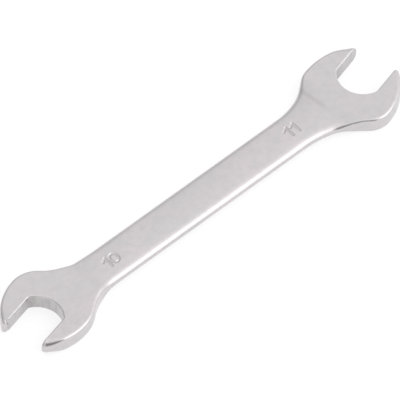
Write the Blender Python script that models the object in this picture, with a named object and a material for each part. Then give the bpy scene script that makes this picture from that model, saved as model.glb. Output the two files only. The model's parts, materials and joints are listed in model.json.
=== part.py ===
"""Double open-ended wrench: one drop-forged piece with an 11 mm jaw at +X and a 10 mm jaw at -X.

Metres, +Z up. The shank runs along X and the wrench lies flat: the undersides of both heads are on
Z = 0, and the origin is the middle of the whole wrench's box, at its base.
"""

import math
from collections import namedtuple

import bmesh
import bpy
from mathutils import Vector

# Shank: a flat bar with rounded edges.
SHANK_WIDTH = 0.0101
SHANK_THICKNESS = 0.0032
SHANK_EDGE_RADIUS = 0.0012

# Both heads: thicker than the shank, with finer edges.
HEAD_THICKNESS = 0.0044
HEAD_EDGE_RADIUS = 0.00075
TIP_EDGE_RADIUS = 0.0017
JAW_EDGE_BEVEL = 0.0003

# Larger head. The throat is the deepest point of the jaw opening, and THROAT_X is its distance from the
# middle of the shank. THROAT_BOW is how much wider the throat's arc is than half the gap. The neck
# rises from the shank's thickness to the head's in a step square to the opening: STEP_SETBACK is how far
# behind the throat it ends, and STEP_LENGTH is how long it is.
BIG_ANGLE = math.radians(15)
BIG_GAP = 0.0111
BIG_THROAT_X = 0.04327
BIG_THROAT_Y = -0.00054
BIG_THROAT_BOW = 0.0006
BIG_STEP_SETBACK = 0.0044
BIG_STEP_LENGTH = 0.0039

# Each jaw's outline runs from its nose over a front arc to its widest place, then over a back arc and a
# hollow neck arc into the shank. WIDTH is measured from the jaw's flat, WIDEST_AT along the opening from
# the throat, and NOSE_RISE from the flat to the centre of the nose arc. CORNER_RADIUS is the small round
# between the flat and the throat's arc.
BIG_SHARP_CORNER_RADIUS = 0.0005
BIG_SHARP_WIDTH = 0.0060
BIG_SHARP_WIDEST_AT = -0.0009
BIG_SHARP_FRONT_RADIUS = 0.0186
BIG_SHARP_BACK_RADIUS = 0.0064
BIG_SHARP_NECK_RADIUS = 0.0170
BIG_SHARP_NOSE_RADIUS = 0.0015
BIG_SHARP_NOSE_RISE = 0.0002

BIG_BLUNT_CORNER_RADIUS = 0.0020
BIG_BLUNT_WIDTH = 0.0058
BIG_BLUNT_WIDEST_AT = 0.0001
BIG_BLUNT_FRONT_RADIUS = 0.0155
BIG_BLUNT_BACK_RADIUS = 0.0060
BIG_BLUNT_NECK_RADIUS = 0.0237
BIG_BLUNT_NOSE_RADIUS = 0.0010
BIG_BLUNT_NOSE_RISE = 0.0004

# Smaller head, with the same sizes.
SMALL_ANGLE = math.radians(13)
SMALL_GAP = 0.0101
SMALL_THROAT_X = 0.0478
SMALL_THROAT_Y = -0.0002
SMALL_THROAT_BOW = 0.0013
SMALL_STEP_SETBACK = 0.0085
SMALL_STEP_LENGTH = 0.0040

SMALL_SHARP_CORNER_RADIUS = 0.0005
SMALL_SHARP_WIDTH = 0.00525
SMALL_SHARP_WIDEST_AT = 0.00075
SMALL_SHARP_FRONT_RADIUS = 0.0152
SMALL_SHARP_BACK_RADIUS = 0.0110
SMALL_SHARP_NECK_RADIUS = 0.0137
SMALL_SHARP_NOSE_RADIUS = 0.0015
SMALL_SHARP_NOSE_RISE = 0.0002

SMALL_BLUNT_CORNER_RADIUS = 0.0006
SMALL_BLUNT_WIDTH = 0.0059
SMALL_BLUNT_WIDEST_AT = 0.00075
SMALL_BLUNT_FRONT_RADIUS = 0.0145
SMALL_BLUNT_BACK_RADIUS = 0.0074
SMALL_BLUNT_NECK_RADIUS = 0.0115
SMALL_BLUNT_NOSE_RADIUS = 0.0008
SMALL_BLUNT_NOSE_RISE = 0.00065

# How finely the round edges and the outline are divided, and how far a cutter passes the metal.
FACET_LENGTH = 0.0008
EDGE_STEPS = 4
CORNER_STEPS = 4
THROAT_STEPS = 20
STEP_STEPS = 4
OVERRUN = 0.0010

# Shares: the front arc's part over which the tip's softer edge fades into the head's, the largest
# edge radius as a part of the nose radius and of half the thickness, and the shortest facet that is
# worth making as a part of the usual one.
TIP_FADE_SHARE = 0.4
NOSE_EDGE_SHARE = 0.75
WALL_EDGE_SHARE = 0.9
LEAST_FACET_SHARE = 0.1

# Finish: satin nickel-chrome plate, as linear colour.
PLATE_COLOUR = (0.61, 0.60, 0.61, 1.0)
PLATE_ROUGHNESS = 0.35
PLATE_METALLIC = 1.0

Jaw = namedtuple("Jaw", "corner width widest_at front back neck nose rise")
Head = namedtuple("Head", "throat facing turn gap bow setback rise_length sharp blunt")
Station = namedtuple("Station", "point normal edge cut")

BIG_HEAD = Head(
    throat=(BIG_THROAT_X, BIG_THROAT_Y),
    facing=1,
    turn=BIG_ANGLE,
    gap=BIG_GAP,
    bow=BIG_THROAT_BOW,
    setback=BIG_STEP_SETBACK,
    rise_length=BIG_STEP_LENGTH,
    sharp=Jaw(
        BIG_SHARP_CORNER_RADIUS,
        BIG_SHARP_WIDTH,
        BIG_SHARP_WIDEST_AT,
        BIG_SHARP_FRONT_RADIUS,
        BIG_SHARP_BACK_RADIUS,
        BIG_SHARP_NECK_RADIUS,
        BIG_SHARP_NOSE_RADIUS,
        BIG_SHARP_NOSE_RISE,
    ),
    blunt=Jaw(
        BIG_BLUNT_CORNER_RADIUS,
        BIG_BLUNT_WIDTH,
        BIG_BLUNT_WIDEST_AT,
        BIG_BLUNT_FRONT_RADIUS,
        BIG_BLUNT_BACK_RADIUS,
        BIG_BLUNT_NECK_RADIUS,
        BIG_BLUNT_NOSE_RADIUS,
        BIG_BLUNT_NOSE_RISE,
    ),
)
SMALL_HEAD = Head(
    throat=(-SMALL_THROAT_X, SMALL_THROAT_Y),
    facing=-1,
    turn=SMALL_ANGLE + math.pi,
    gap=SMALL_GAP,
    bow=SMALL_THROAT_BOW,
    setback=SMALL_STEP_SETBACK,
    rise_length=SMALL_STEP_LENGTH,
    sharp=Jaw(
        SMALL_SHARP_CORNER_RADIUS,
        SMALL_SHARP_WIDTH,
        SMALL_SHARP_WIDEST_AT,
        SMALL_SHARP_FRONT_RADIUS,
        SMALL_SHARP_BACK_RADIUS,
        SMALL_SHARP_NECK_RADIUS,
        SMALL_SHARP_NOSE_RADIUS,
        SMALL_SHARP_NOSE_RISE,
    ),
    blunt=Jaw(
        SMALL_BLUNT_CORNER_RADIUS,
        SMALL_BLUNT_WIDTH,
        SMALL_BLUNT_WIDEST_AT,
        SMALL_BLUNT_FRONT_RADIUS,
        SMALL_BLUNT_BACK_RADIUS,
        SMALL_BLUNT_NECK_RADIUS,
        SMALL_BLUNT_NOSE_RADIUS,
        SMALL_BLUNT_NOSE_RISE,
    ),
)


def clear_scene():
    for obj in list(bpy.data.objects):
        bpy.data.objects.remove(obj, do_unlink=True)


def smooth(share):
    share = min(max(share, 0.0), 1.0)
    return share * share * (3 - 2 * share)


def mix(first, second, share):
    return first + (second - first) * share


def direction(angle):
    return Vector((math.cos(angle), math.sin(angle)))


def angle_of(vector):
    return math.atan2(vector.y, vector.x)


def near(angle, other):
    """The same angle, given in the turn that lies nearest to the other one."""
    return angle + math.tau * round((other - angle) / math.tau)


def place(head, along, across):
    """A point given along and across a head's opening, in the wrench's plan."""
    turned = direction(head.turn) * along + direction(head.turn + math.pi / 2) * across
    return Vector(head.throat) + turned


def along_opening(head, point):
    """How far out along a head's opening a point of the plan lies, from the throat."""
    return (point - Vector(head.throat)).dot(direction(head.turn))


def step_lines(head):
    """The lines across the neck where the thickness is set, from the shank to the head. They lie square
    to the opening, so each is a distance along it."""
    shares = [i / STEP_STEPS for i in range(STEP_STEPS + 1)]
    return [-head.setback - head.rise_length * (1 - share) for share in shares]


def head_share(head, point):
    """0 on the shank, 1 on the head, and between them in the step of the neck."""
    start, *_, end = step_lines(head)
    return smooth((along_opening(head, point) - start) / (end - start))


def quarter_turns(start, end):
    """The angles at which an arc runs square to X or to Y."""
    quarter = math.pi / 2
    low, high = sorted((start, end))
    return [i * quarter for i in range(math.ceil(low / quarter), math.floor(high / quarter) + 1)]


def arc_stations(head, centre, radius, start, end, edges, lines, hollow=False):
    """Stations along an arc, also at each step line and wherever the outline reaches farthest out. Edges
    are the edge radii at its two ends."""
    stops = [(start, None), (end, None)]
    for number, line in enumerate(lines):
        cosine = (line - along_opening(head, centre)) / radius
        if abs(cosine) >= 1:
            continue
        for spread in (math.acos(cosine), -math.acos(cosine)):
            angle = near(head.turn + spread, (start + end) / 2)
            if min(start, end) < angle < max(start, end):
                stops.append((angle, number))
    least = LEAST_FACET_SHARE * FACET_LENGTH / radius
    for angle in quarter_turns(start, end):
        if all(abs(angle - stop) > least for stop, _ in stops):
            stops.append((angle, None))
    stops.sort(key=lambda stop: stop[0], reverse=end < start)
    stations = []
    for (first, cut), (last, _) in zip(stops, stops[1:]):
        steps = max(1, math.ceil(abs(last - first) * radius / FACET_LENGTH))
        stations += [(mix(first, last, i / steps), None if i else cut) for i in range(steps)]
    stations.append(stops[-1])
    return [
        Station(
            centre + direction(angle) * radius,
            direction(angle) * (-1 if hollow else 1),
            mix(*edges, smooth((angle - start) / (end - start) / TIP_FADE_SHARE)),
            cut,
        )
        for angle, cut in stations
    ]


def side_stations(head, jaw, side):
    """One edge of the blank from a jaw's nose to the middle of the shank. Side is 1 to the left of the
    opening and -1 to its right."""
    lines = step_lines(head)
    half_gap = head.gap / 2
    half_width = half_gap + jaw.width
    front_across = half_width - jaw.front
    nose_across = half_gap + jaw.rise
    nose_along = jaw.widest_at + math.sqrt(
        (jaw.front - jaw.nose) ** 2 - (nose_across - front_across) ** 2
    )
    front = place(head, jaw.widest_at, side * front_across)
    back = place(head, jaw.widest_at, side * (half_width - jaw.back))
    nose = place(head, nose_along, side * nose_across)

    # The neck arc touches the back arc and the straight edge of the shank.
    upward = side * head.facing
    neck_y = upward * (SHANK_WIDTH / 2 + jaw.neck)
    reach = math.sqrt((jaw.back + jaw.neck) ** 2 - (neck_y - back.y) ** 2)
    neck = Vector((back.x - head.facing * reach, neck_y))

    widest = head.turn + side * math.pi / 2
    front_start = near(angle_of(nose - front), widest)
    nose_start = head.turn - side * math.pi / 2
    back_end = near(angle_of(neck - back), widest + side * math.pi / 2)
    shank_touch = -upward * math.pi / 2
    neck_start = near(back_end + math.pi, shank_touch)

    tip_edge = min(TIP_EDGE_RADIUS, jaw.nose * NOSE_EDGE_SHARE)
    plain = (HEAD_EDGE_RADIUS, HEAD_EDGE_RADIUS)
    tip = (tip_edge, tip_edge)
    fading = (tip_edge, HEAD_EDGE_RADIUS)
    stations = arc_stations(head, nose, jaw.nose, nose_start, front_start, tip, [])
    stations += arc_stations(head, front, jaw.front, front_start, widest, fading, lines)[1:]
    stations += arc_stations(head, back, jaw.back, widest, back_end, plain, lines)[1:]
    stations += arc_stations(head, neck, jaw.neck, neck_start, shank_touch, plain, lines, True)[1:]

    # A step line that lies past the neck arc crosses the straight edge of the shank.
    edge_y = upward * SHANK_WIDTH / 2
    outward = Vector((0, upward))
    for number, line in reversed(list(enumerate(lines))):
        rest = line - (edge_y - head.throat[1]) * math.sin(head.turn)
        x = head.throat[0] + rest / math.cos(head.turn)
        if 0 < x * head.facing <= neck.x * head.facing:
            stations.append(Station(Vector((x, edge_y)), outward, HEAD_EDGE_RADIUS, number))
    return stations


def notch_station(head):
    """Between the noses the outline turns back at the middle of the throat's arc, which is cut away."""
    middle = place(head, head.gap / 2 + head.bow, 0)
    return Station(middle, direction(head.turn), HEAD_EDGE_RADIUS, None)


def blank_sides():
    """The blank's outline, anticlockwise from the shank's -Y edge, as its four sides."""
    sides = []
    for head in (BIG_HEAD, SMALL_HEAD):
        blunt = side_stations(head, head.blunt, -1)
        sides.append((head, blunt[::-1] + [notch_station(head)]))
        sides.append((head, side_stations(head, head.sharp, 1)))
    return sides


def edge_rows(sides):
    """The rows of points that wrap the outline, from the top face's rim down to the bottom face's."""
    rings = []
    for head, stations in sides:
        for station in stations:
            share = head_share(head, station.point)
            thickness = mix(SHANK_THICKNESS, HEAD_THICKNESS, share)
            edge = mix(SHANK_EDGE_RADIUS, station.edge, share)
            edge = min(edge, thickness / 2 * WALL_EDGE_SHARE)
            rings.append((station, thickness / 2, edge))
    rows = []
    angles = [math.pi / 2 * i / EDGE_STEPS for i in range(EDGE_STEPS + 1)]
    for level, turns in ((1, angles[::-1]), (-1, angles)):
        for turn in turns:
            row = []
            for station, half, edge in rings:
                point = station.point - station.normal * edge * (1 - math.cos(turn))
                row.append((point.x, point.y, level * (half - edge + edge * math.sin(turn))))
            rows.append(row)
    return rows


def cap_outlines(sides):
    """The rim numbers of each flat of the top face: two heads, their steps and the shank."""
    stations = [station for _, side in sides for station in side]
    count = len(stations)

    def run(first, last):
        return [i % count for i in range(first, last + (count if last < first else 0) + 1)]

    crossings = []
    first = 0
    for _, side in sides:
        found = {station.cut: first + i for i, station in enumerate(side) if station.cut is not None}
        crossings.append(found)
        first += len(side)
    outlines = []
    for blunt, sharp in (crossings[:2], crossings[2:]):
        outlines.append(run(blunt[STEP_STEPS], sharp[STEP_STEPS]))
        for i in range(STEP_STEPS):
            outlines.append(run(blunt[i], blunt[i + 1]) + run(sharp[i + 1], sharp[i]))
    big_blunt, big_sharp, small_blunt, small_sharp = (found[0] for found in crossings)
    outlines.append(run(big_sharp, small_blunt) + run(small_sharp, big_blunt))
    return outlines


def mesh_from_rows(name, rows, caps):
    """A closed mesh whose sides join the rows, all anticlockwise seen from above, with the top row first."""
    mesh = bpy.data.meshes.new(name)
    made = bmesh.new()
    points = [[made.verts.new(point) for point in row] for row in rows]
    count = len(rows[0])
    for upper, lower in zip(points, points[1:]):
        for i in range(count):
            after = (i + 1) % count
            made.faces.new((upper[i], lower[i], lower[after], upper[after]))
    for cap in caps:
        made.faces.new([points[0][i] for i in cap])
        made.faces.new([points[-1][i] for i in reversed(cap)])
    made.normal_update()
    bmesh.ops.triangulate(made, faces=made.faces[:])
    made.to_mesh(mesh)
    made.free()
    return mesh


def add_object(name, mesh):
    obj = bpy.data.objects.new(name, mesh)
    bpy.context.scene.collection.objects.link(obj)
    return obj


def arc_points(centre, radius, start, end, steps):
    return [centre + direction(mix(start, end, i / steps)) * radius for i in range(steps + 1)]


def opening_outline(head, grow):
    """The jaw opening with its round throat, anticlockwise, let out by grow. Along is +X here."""
    half_gap = head.gap / 2
    throat_radius = half_gap + head.bow
    throat = Vector((throat_radius, 0))

    def corner(radius):
        across = half_gap - radius
        back = math.sqrt((throat_radius - radius) ** 2 - across**2)
        centre = Vector((throat_radius - back, across))
        lean = angle_of(centre - throat)
        return arc_points(centre, radius + grow, math.pi / 2, lean, CORNER_STEPS), lean

    upper, upper_lean = corner(head.sharp.corner)
    lower, lower_lean = corner(head.blunt.corner)
    lower = [Vector((point.x, -point.y)) for point in reversed(lower)]
    ends = upper_lean, math.tau - lower_lean
    bottom = arc_points(throat, throat_radius + grow, *ends, THROAT_STEPS)
    widest = max(head.sharp, head.blunt, key=lambda jaw: jaw.widest_at + jaw.front)
    mouth = widest.widest_at + widest.front + OVERRUN
    ends = [Vector((mouth, -half_gap - grow)), Vector((mouth, half_gap + grow))]
    return upper + bottom[1:-1] + lower + ends


def jaw_cutter(name, head):
    """A prism through the head that flares at both faces, which bevels the jaw's edges."""
    top = HEAD_THICKNESS / 2
    waist = top - JAW_EDGE_BEVEL
    flare = JAW_EDGE_BEVEL + OVERRUN
    rows = []
    for height, grow in ((top + OVERRUN, flare), (waist, 0), (-waist, 0), (-top - OVERRUN, flare)):
        points = [place(head, point.x, point.y) for point in opening_outline(head, grow)]
        rows.append([(point.x, point.y, height) for point in points])
    cutter = add_object(name, mesh_from_rows(name, rows, [range(len(rows[0]))]))
    cutter.hide_render = True
    cutter.display_type = "WIRE"
    return cutter


def satin_plate():
    material = bpy.data.materials.new("satin_plate")
    material.use_nodes = True
    shader = material.node_tree.nodes["Principled BSDF"]
    shader.inputs["Base Color"].default_value = PLATE_COLOUR
    shader.inputs["Metallic"].default_value = PLATE_METALLIC
    shader.inputs["Roughness"].default_value = PLATE_ROUGHNESS
    return material


def forged_wrench():
    """The blank with both jaw openings cut through it."""
    sides = blank_sides()
    mesh = mesh_from_rows("wrench_forging", edge_rows(sides), cap_outlines(sides))
    mesh.shade_smooth()
    mesh.set_sharp_from_angle(angle=math.radians(30))
    mesh.materials.append(satin_plate())
    wrench = add_object("wrench_forging", mesh)
    cutters = [jaw_cutter("big_jaw_cutter", BIG_HEAD), jaw_cutter("small_jaw_cutter", SMALL_HEAD)]
    for cutter in cutters:
        cut = wrench.modifiers.new(cutter.name, "BOOLEAN")
        cut.operation = "DIFFERENCE"
        cut.solver = "EXACT"
        cut.object = cutter
    return wrench, cutters


def centre_on_base(wrench, cutters):
    """Carries the wrench so that the origin is under the middle of its box."""
    bpy.context.view_layer.update()
    finished = wrench.evaluated_get(bpy.context.evaluated_depsgraph_get())
    corners = [Vector(corner) for corner in finished.bound_box]
    low = Vector(min(corner[i] for corner in corners) for i in range(3))
    high = Vector(max(corner[i] for corner in corners) for i in range(3))
    carrier = add_object("wrench_carrier", None)
    carrier.location = (-(low.x + high.x) / 2, -(low.y + high.y) / 2, HEAD_THICKNESS / 2)
    for obj in (wrench, *cutters):
        obj.parent = carrier
    return carrier


def main():
    clear_scene()
    wrench, cutters = forged_wrench()
    carrier = centre_on_base(wrench, cutters)
    print("middle of the shank at", [round(value, 6) for value in carrier.location])


main()
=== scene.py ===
# %% [markdown]
# # A double open-ended wrench
#
# This notebook dresses one imported part: a short, flat wrench, forged from a single bar, with an 11 mm jaw at
# one end and a 10 mm jaw at the other. Nothing on it moves, and it has no second piece to take off.
#
# The imported part gives the place and the size. We load it first.

# %% Load the imported part
import bmesh
import bpy
import json
import math
import numpy as np
from collections import namedtuple
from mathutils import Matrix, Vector
from mathutils.geometry import delaunay_2d_cdt

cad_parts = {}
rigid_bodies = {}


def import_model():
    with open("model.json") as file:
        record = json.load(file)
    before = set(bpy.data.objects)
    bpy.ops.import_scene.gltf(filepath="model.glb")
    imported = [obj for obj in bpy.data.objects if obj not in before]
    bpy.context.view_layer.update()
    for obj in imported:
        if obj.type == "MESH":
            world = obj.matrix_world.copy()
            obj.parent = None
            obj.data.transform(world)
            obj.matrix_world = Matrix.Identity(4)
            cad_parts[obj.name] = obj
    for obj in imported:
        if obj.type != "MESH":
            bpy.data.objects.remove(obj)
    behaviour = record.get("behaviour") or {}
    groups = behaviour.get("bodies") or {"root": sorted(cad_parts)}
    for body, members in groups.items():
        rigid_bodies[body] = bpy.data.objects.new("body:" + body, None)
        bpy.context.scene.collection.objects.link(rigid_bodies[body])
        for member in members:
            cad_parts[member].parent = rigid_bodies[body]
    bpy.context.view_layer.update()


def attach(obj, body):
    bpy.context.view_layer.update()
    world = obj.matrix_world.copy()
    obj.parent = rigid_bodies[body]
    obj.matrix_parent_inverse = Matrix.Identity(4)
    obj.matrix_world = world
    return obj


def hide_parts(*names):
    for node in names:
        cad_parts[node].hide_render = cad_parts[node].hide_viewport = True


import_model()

MM = 0.001

# %% [markdown]
# ## The wrench seen from above
#
# A wrench is easiest to describe in plan. The shank is a straight bar. Each head is two jaws, turned about
# 15 degrees from the shank so that the tool can be flipped over in a tight corner. We could trace a curve
# by eye, but a toolmaker draws a head with arcs that touch, so we write down the same few radii.
#
# `Jaw` holds one jaw's radii and widths, and `Head` the opening that its two jaws share. Lengths are in
# millimetres in these cells, because that is how a wrench is measured. The plan is drawn from the middle of
# the shank, and `SHANK_MIDDLE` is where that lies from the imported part's origin.

# %% Sizes of the shank and of the edges
SHANK_MIDDLE = np.array((2.252, 0.3323))
SHANK_WIDTH = 10.1
SHANK_THICKNESS = 3.2
SHANK_EDGE_WIDTH = 1.6
SHANK_EDGE_FALL = 1.2
SHANK_CROWN_RADIUS = 55.0
HEAD_THICKNESS = 4.4
HEAD_EDGE = 0.75
JAW_EDGE = 0.3
TIP_CORNER = 0.2

# %% [markdown]
# The necks are where the thin shank becomes the thick head. The rise lies square to the opening, because the
# die's head was cut as one round pocket: `BIG_STEP` and `SMALL_STEP` are distances along the openings, from
# their throats. `BIG_CREST` is a second, shorter span in the middle of the larger head's rise, measured from
# the shank's middle. It is the faint line that can be felt there with a fingernail, and it is turned less
# than the opening. The edges blend over the two `EDGE_BLEND` spans, along the shank from its middle.

# %% Where the necks rise
Span = namedtuple("Span", "start end")
BIG_STEP = Span(-8.3, -4.4)
BIG_CREST = Span(35.1, 36.5)
CREST_TURN = math.radians(6.5)
CREST_SHARE = 0.5
CREST_FADE = Span(-3.5, 2.0)
SMALL_STEP = Span(-12.5, -8.5)
BIG_EDGE_BLEND = Span(33.5, 38.5)
SMALL_EDGE_BLEND = Span(30.0, 41.0)

# %% Sizes of the two heads
Jaw = namedtuple("Jaw", "corner width widest_at front back neck nose rise tip_edge")
Head = namedtuple("Head", "throat facing turn gap bow sharp blunt")

BIG_HEAD = Head(
    throat=(43.27, -0.54),
    facing=1,
    turn=math.radians(15),
    gap=11.1,
    bow=0.6,
    sharp=Jaw(
        corner=0.5, width=6.0, widest_at=-0.9, front=18.6, back=6.4,
        neck=17.0, nose=1.5, rise=0.2, tip_edge=2.1,
    ),
    blunt=Jaw(
        corner=2.0, width=5.8, widest_at=0.1, front=15.5, back=6.0,
        neck=23.7, nose=1.0, rise=0.4, tip_edge=1.1,
    ),
)
SMALL_HEAD = Head(
    throat=(-47.8, -0.2),
    facing=-1,
    turn=math.radians(193),
    gap=10.1,
    bow=1.3,
    sharp=Jaw(
        corner=0.5, width=5.25, widest_at=0.75, front=15.2, back=11.0,
        neck=13.7, nose=1.5, rise=0.2, tip_edge=2.1,
    ),
    blunt=Jaw(
        corner=0.6, width=5.9, widest_at=0.75, front=14.5, back=7.4,
        neck=11.5, nose=0.8, rise=0.65, tip_edge=1.1,
    ),
)
print("openings:", BIG_HEAD.gap, "and", SMALL_HEAD.gap, "mm")

# %% [markdown]
# ## Arcs and lines
#
# An outline made of arcs and lines has a great advantage over a traced curve: for any point of the plan we
# can say exactly how far it is from the edge. That distance is what rounds the edges further down.
#
# Each stretch of the outline has a family. `rim` is the forged outside edge, `jaw` the broached opening, and
# `tip` the small corner where the two meet at the end of a jaw. `SPACING` says how far apart the points are
# along each kind of stretch: closer where the curve is tighter.

# %% Stretches of the outline
Arc = namedtuple("Arc", "family centre radius start end hollow soft step")
Line = namedtuple("Line", "family first last normal step")
SPACING = dict(corner=0.12, throat=0.15, flat=0.4, tip=0.04, nose=0.08, head=0.25, neck=0.3, shank=0.8)


def direction(angle):
    """Unit vector at that angle."""
    return np.array((math.cos(angle), math.sin(angle)))


def angle_of(vector):
    """Angle of a vector, from -pi to pi."""
    return math.atan2(vector[1], vector[0])


def near(angle, other):
    """The same angle, in the turn that lies nearest to the other one."""
    return angle + math.tau * np.round((other - angle) / math.tau)


def reverse(stretch):
    """The same stretch, walked the other way."""
    if isinstance(stretch, Line):
        return stretch._replace(first=stretch.last, last=stretch.first)
    return stretch._replace(start=stretch.end, end=stretch.start, soft=stretch.soft[::-1])


# %% [markdown]
# ## One jaw
#
# From the throat outwards a jaw is: a small corner, the flat that grips the nut, the tip, a blunt nose, a
# long front arc to the widest place, a back arc, and a hollow neck that runs into the shank. Each arc's
# centre follows from the one before it, because arcs that touch have their centres on one line.
#
# `side` is 1 for the jaw left of the opening and -1 for the one on its right, so that one function draws
# all four.

# %% Stretches of one jaw
def throat_lean(head, jaw):
    """Angle from the opening's axis to where the throat's arc meets a jaw's corner."""
    reach = head.gap / 2 + head.bow - jaw.corner
    return math.pi - math.asin((head.gap / 2 - jaw.corner) / reach)


def jaw_stretches(head, jaw, side):
    """Stretches from the throat to the shank, and the nose arc as it runs on under the flat."""
    turn = head.turn
    half_gap = head.gap / 2
    half_width = half_gap + jaw.width

    def place(along, across):
        across_axis = direction(turn + math.pi / 2) * side
        return np.array(head.throat) + direction(turn) * along + across_axis * across

    def world(angle):
        return turn + side * angle

    corner_across = half_gap - jaw.corner
    lean = throat_lean(head, jaw)
    corner_along = half_gap + head.bow + corner_across / math.tan(lean)

    front_across = half_width - jaw.front
    nose_across = half_gap + jaw.rise
    nose_along = jaw.widest_at + math.sqrt((jaw.front - jaw.nose) ** 2 - (nose_across - front_across) ** 2)
    tip_across = half_gap + TIP_CORNER
    tip_reach = math.sqrt((jaw.nose - TIP_CORNER) ** 2 - (tip_across - nose_across) ** 2)
    tip_along = nose_along + tip_reach

    tip_turn = math.atan2(tip_across - nose_across, tip_reach)
    nose_turn = math.atan2(nose_across - front_across, nose_along - jaw.widest_at)

    back = place(jaw.widest_at, half_width - jaw.back)
    upward = side * head.facing
    neck_y = upward * (SHANK_WIDTH / 2 + jaw.neck)
    reach = math.sqrt((jaw.back + jaw.neck) ** 2 - (neck_y - back[1]) ** 2)
    neck = np.array((back[0] - head.facing * reach, neck_y))
    widest = world(math.pi / 2)
    back_end = near(angle_of(neck - back), widest + side * math.pi / 2)
    touch = -upward * math.pi / 2
    neck_start = near(back_end + math.pi, touch)

    normal = -direction(turn + math.pi / 2) * side
    corner = place(corner_along, corner_across)
    tip = place(tip_along, tip_across)
    nose = place(nose_along, nose_across)
    front = place(jaw.widest_at, front_across)
    flat = (place(corner_along, half_gap), place(tip_along, half_gap))
    soft = jaw.tip_edge - HEAD_EDGE
    full = (soft, soft)
    fading = (soft, 0)
    none = (0, 0)
    path = [
        Arc("jaw", corner, jaw.corner, world(lean), widest, True, none, SPACING["corner"]),
        Line("jaw", *flat, normal, SPACING["flat"]),
        Arc("tip", tip, TIP_CORNER, world(-math.pi / 2), world(tip_turn), False, full, SPACING["tip"]),
        Arc("rim", nose, jaw.nose, world(tip_turn), world(nose_turn), False, full, SPACING["nose"]),
        Arc("rim", front, jaw.front, world(nose_turn), widest, False, fading, SPACING["head"]),
        Arc("rim", back, jaw.back, widest, back_end, False, none, SPACING["head"]),
        Arc("rim", neck, jaw.neck, neck_start, touch, True, none, SPACING["neck"]),
    ]
    under = path[3]._replace(start=world(-math.pi / 2))
    return path, under


def throat_arc(head):
    """The round bottom of an opening, from the blunt jaw's side to the sharp jaw's side."""
    radius = head.gap / 2 + head.bow
    centre = np.array(head.throat) + direction(head.turn) * radius
    start = head.turn + math.tau - throat_lean(head, head.blunt)
    end = head.turn + throat_lean(head, head.sharp)
    return Arc("jaw", centre, radius, start, end, True, (0, 0), SPACING["throat"])


# %% [markdown]
# ## The whole outline
#
# We walk round the metal anticlockwise: out along one side of a head, into its opening, out along the other
# side, and down the shank to the next head. `EDGES` keeps the stretches that measure distance. There the
# nose arcs run on under the flats, as they did on the forging before its jaws were cut.

# %% Walk round the metal
OUTLINE = []
EDGES = []
for head in (BIG_HEAD, SMALL_HEAD):
    blunt, blunt_nose = jaw_stretches(head, head.blunt, -1)
    sharp, sharp_nose = jaw_stretches(head, head.sharp, 1)
    OUTLINE += [reverse(stretch) for stretch in reversed(blunt)]
    OUTLINE.append(throat_arc(head))
    OUTLINE += sharp
    EDGES += blunt[:2] + [throat_arc(head)] + sharp[:2]
    EDGES += [blunt_nose] + blunt[4:] + [sharp_nose] + sharp[4:]


def shank_edge(first_neck, last_neck):
    """The straight edge between two necks."""
    side = np.sign(first_neck.centre[1])
    y = side * SHANK_WIDTH / 2
    first = np.array((first_neck.centre[0], y))
    last = np.array((last_neck.centre[0], y))
    return Line("rim", first, last, np.array((0, side)), SPACING["shank"])


middle = len(OUTLINE) // 2
upper_edge = shank_edge(OUTLINE[middle - 1], OUTLINE[middle])
lower_edge = shank_edge(OUTLINE[-1], OUTLINE[0])
OUTLINE.insert(middle, upper_edge)
OUTLINE.append(lower_edge)
EDGES += [upper_edge, lower_edge]
print("stretches:", len(OUTLINE))


# %% Stations along the outline
Station = namedtuple("Station", "point normal family")


def stations_of(stretch):
    """Points along one stretch with their outward normals, without its last point."""
    if isinstance(stretch, Line):
        gap = stretch.last - stretch.first
        count = max(1, math.ceil(np.linalg.norm(gap) / stretch.step))
        shares = [i / count for i in range(count)]
        return [Station(stretch.first + gap * share, stretch.normal, stretch.family) for share in shares]
    length = abs(stretch.end - stretch.start) * stretch.radius
    count = max(1, math.ceil(length / stretch.step))
    outward = -1 if stretch.hollow else 1
    found = []
    for i in range(count):
        spoke = direction(stretch.start + (stretch.end - stretch.start) * i / count)
        found.append(Station(stretch.centre + spoke * stretch.radius, spoke * outward, stretch.family))
    return found


stations = [station for stretch in OUTLINE for station in stations_of(stretch)]
print("stations:", len(stations))


# %% [markdown]
# ## How far is a point from the edge?
#
# Every stretch answers for the points that lie square to it, and the smallest answer wins. The outside edge
# also says how soft it is there: polishing rounds the thin ends of the jaws more than the rest. `soft` is
# how many millimetres wider the edge is at a nose, and it fades to 0 along the front arc.

# %% Distance from the rim and from the jaw opening
SOFT_FADE = 0.4
FAR_AWAY = 1e3
SLACK = 1e-9


def smooth(share):
    """Smooth step from 0 to 1."""
    share = np.clip(share, 0, 1)
    return share * share * (3 - 2 * share)


def inset_from(stretch, points):
    """Each point's distance inside one stretch, and the softness there."""
    if isinstance(stretch, Line):
        run = stretch.last - stretch.first
        along = (points - stretch.first) @ run / (run @ run)
        inset = (stretch.first - points) @ stretch.normal
        inside = (along >= -SLACK) & (along <= 1 + SLACK)
        return np.where(inside, inset, FAR_AWAY), np.zeros(len(points))
    spokes = points - stretch.centre
    reach = np.hypot(spokes[:, 0], spokes[:, 1])
    half_way = (stretch.start + stretch.end) / 2
    angles = near(np.arctan2(spokes[:, 1], spokes[:, 0]), half_way)
    inside = np.abs(angles - half_way) <= abs(stretch.end - stretch.start) / 2 + SLACK
    inset = (reach - stretch.radius) if stretch.hollow else (stretch.radius - reach)
    share = (angles - stretch.start) / (stretch.end - stretch.start)
    first, last = stretch.soft
    soft = first + (last - first) * smooth(share / SOFT_FADE)
    return np.where(inside, inset, FAR_AWAY), soft


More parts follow.
